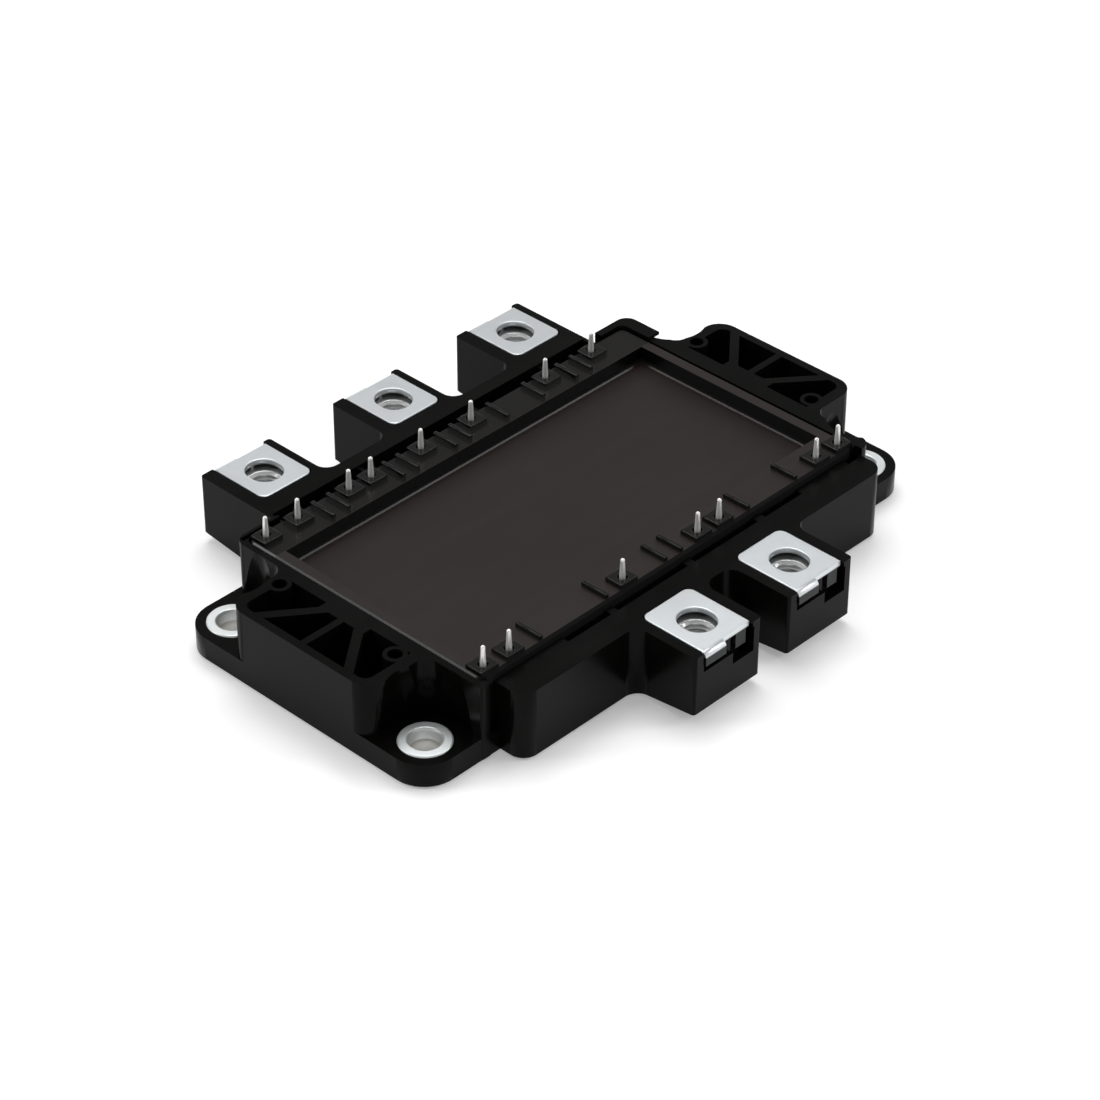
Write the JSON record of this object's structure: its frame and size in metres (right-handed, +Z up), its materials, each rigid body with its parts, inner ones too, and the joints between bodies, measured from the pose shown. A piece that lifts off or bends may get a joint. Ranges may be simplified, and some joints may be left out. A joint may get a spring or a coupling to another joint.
{
  "type": "igbt module",
  "caption": "Flat power semiconductor module: black moulded case with recessed lid, screw terminals along both long sides, contact pins and a flat metal base.",
  "frame": {"origin": "middle of the four mounting holes, on the underside of the baseplate", "axes": "+X along the module from left to right, +Y towards the side with three terminals, +Z up, out of the lid"},
  "size_m": [0.123, 0.0984, 0.0199],
  "materials": {
    "housing_plastic": "glossy black glass-filled plastic with soft streaks",
    "lid_plastic": "satin dark grey plastic",
    "plated_copper": "matt nickel plate over copper",
    "steel_bushing": "bright plated steel, turned",
    "plated_terminal": "satin nickel or tin plate over copper",
    "steel_nut": "plain bright steel",
    "plated_pin": "bright tin plate",
    "white_ceramic": "matt fired white ceramic",
    "copper_track": "bare copper",
    "silicon": "polished dark silicon with a thin metal face",
    "aluminium_ribbon": "soft bright aluminium",
    "clear_gel": "soft clear gel"
  },
  "bodies": {
    "root": {"baseplate": "plated_copper", "bond_ribbons_left": "aluminium_ribbon", "bond_ribbons_middle": "aluminium_ribbon", "bond_ribbons_right": "aluminium_ribbon", "bushing_far_left": "steel_bushing", "bushing_far_right": "steel_bushing", "bushing_near_left": "steel_bushing", "bushing_near_right": "steel_bushing", "diode_chip_left_far": "silicon", "diode_chip_left_near": "silicon", "diode_chip_middle_far": "silicon", "diode_chip_middle_near": "silicon", "diode_chip_right_far": "silicon", "diode_chip_right_near": "silicon", "gel_layer": "clear_gel", "housing": "housing_plastic", "igbt_chip_left_far": "silicon", "igbt_chip_left_near": "silicon", "igbt_chip_middle_far": "silicon", "igbt_chip_middle_near": "silicon", "igbt_chip_right_far": "silicon", "igbt_chip_right_near": "silicon", "lid": "lid_plastic", "nut_far_left": "steel_nut", "nut_far_middle": "steel_nut", "nut_far_right": "steel_nut", "nut_near_left": "steel_nut", "nut_near_right": "steel_nut", "pin_far_1": "plated_pin", "pin_far_2": "plated_pin", "pin_far_3": "plated_pin", "pin_far_4": "plated_pin", "pin_far_5": "plated_pin", "pin_far_6": "plated_pin", "pin_far_7": "plated_pin", "pin_far_8": "plated_pin", "pin_near_1": "plated_pin", "pin_near_2": "plated_pin", "pin_near_3": "plated_pin", "pin_near_4": "plated_pin", "pin_near_5": "plated_pin", "pin_near_6": "plated_pin", "pin_near_7": "plated_pin", "substrate_left": "white_ceramic", "substrate_middle": "white_ceramic", "substrate_right": "white_ceramic", "terminal_far_left": "plated_terminal", "terminal_far_middle": "plated_terminal", "terminal_far_right": "plated_terminal", "terminal_near_left": "plated_terminal", "terminal_near_right": "plated_terminal", "tracks_left": "copper_track", "tracks_middle": "copper_track", "tracks_right": "copper_track"}
  },
  "joints": []
}
